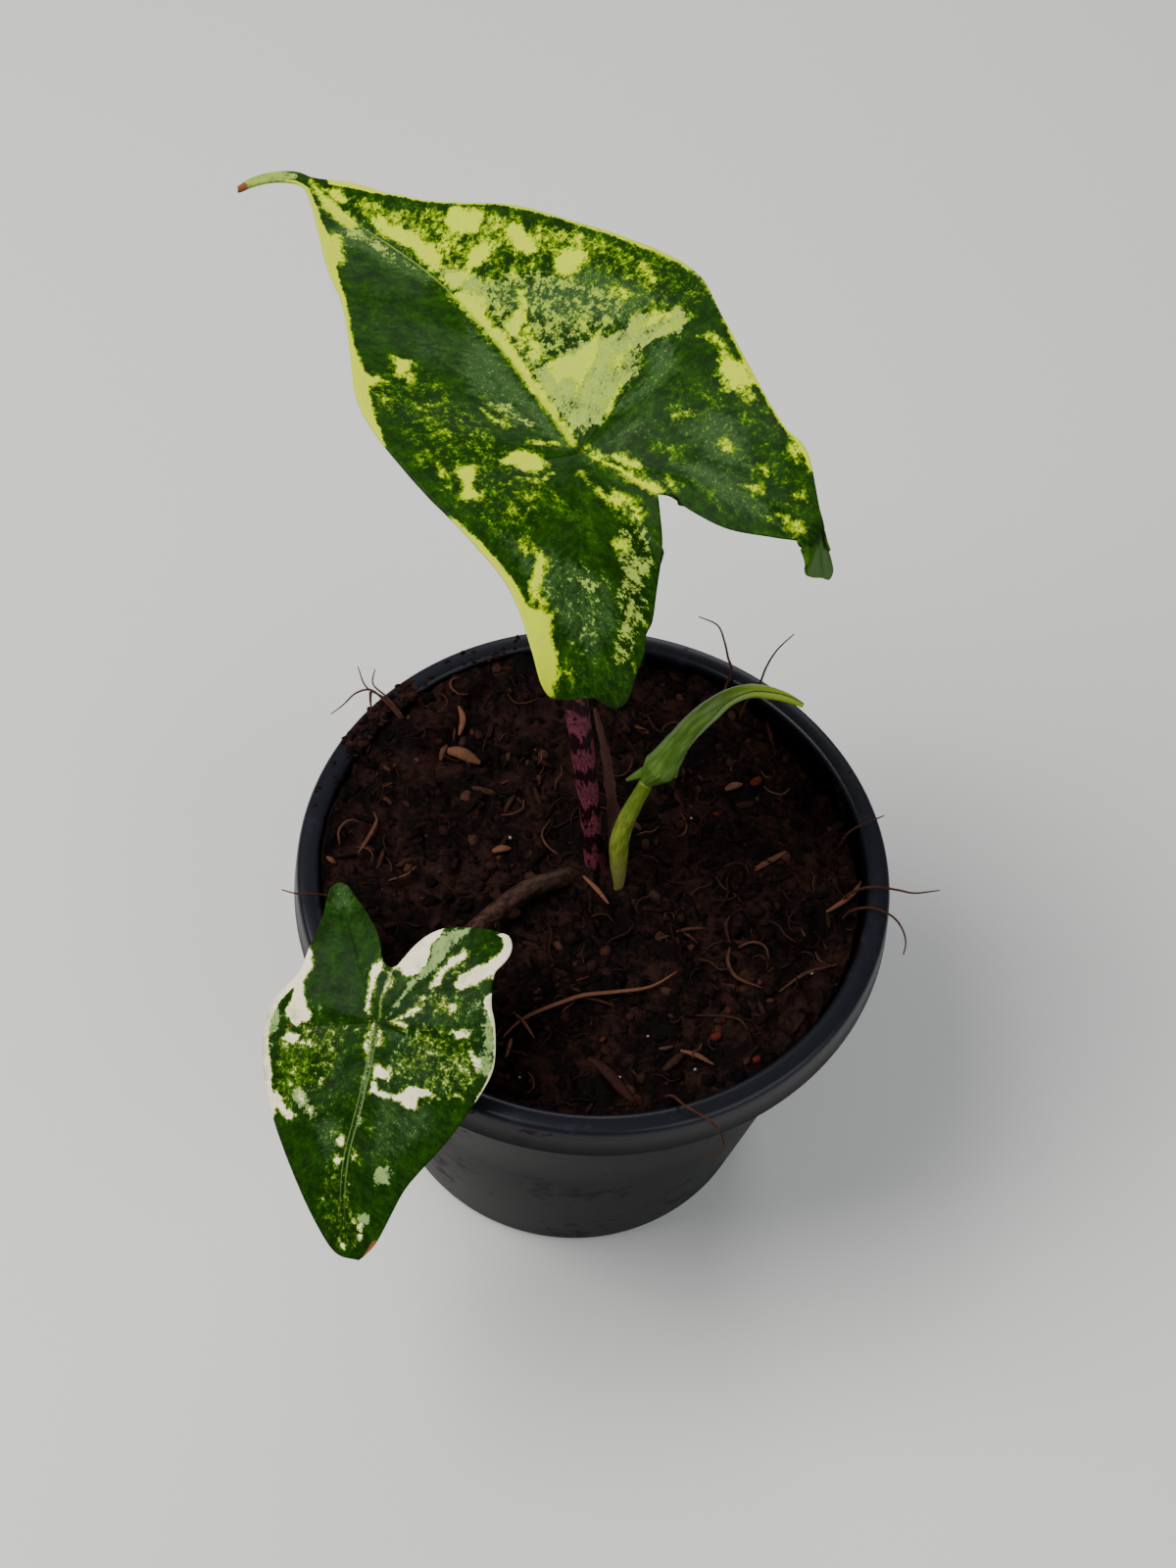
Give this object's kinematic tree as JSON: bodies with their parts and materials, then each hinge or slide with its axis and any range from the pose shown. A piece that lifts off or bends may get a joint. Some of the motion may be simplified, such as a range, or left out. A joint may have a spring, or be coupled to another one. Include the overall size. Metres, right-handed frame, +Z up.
{
  "type": "potted variegated tiger alocasia",
  "caption": "Young aroid house plant with arrow-shaped cream-splashed leaves on banded stalks, rooted in coir in a plain black plastic nursery pot.",
  "frame": {"origin": "the middle of the pot's base, on the ground", "axes": "+Z up along the pot's axis; -Y towards the front, where the small leaf hangs over the rim; +X to the right"},
  "size_m": [0.152, 0.1774, 0.2038],
  "materials": {
    "pot_plastic": "satin black, faintly blue",
    "soil": "damp coir, bark chips and fibre",
    "rootstock": "rough brown skin",
    "banded_stem": "satin mauve with maroon bands",
    "mottled_stem": "satin tan with brown mottling",
    "lime_stem": "satin lime green",
    "dry_sheath": "dry and papery, specked brown",
    "large_leaf": "satin deep green splashed with lime and cream",
    "small_leaf": "satin green, half cream",
    "new_leaf": "satin fresh green"
  },
  "bodies": {
    "root": {"pot": "pot_plastic", "soil": "soil", "rootstock": "rootstock", "large_stem": "banded_stem", "small_stem": "mottled_stem", "new_stem": "lime_stem", "dry_sheath": "dry_sheath", "large_blade": "large_leaf", "small_blade": "small_leaf", "new_blade": "new_leaf"}
  },
  "joints": []
}
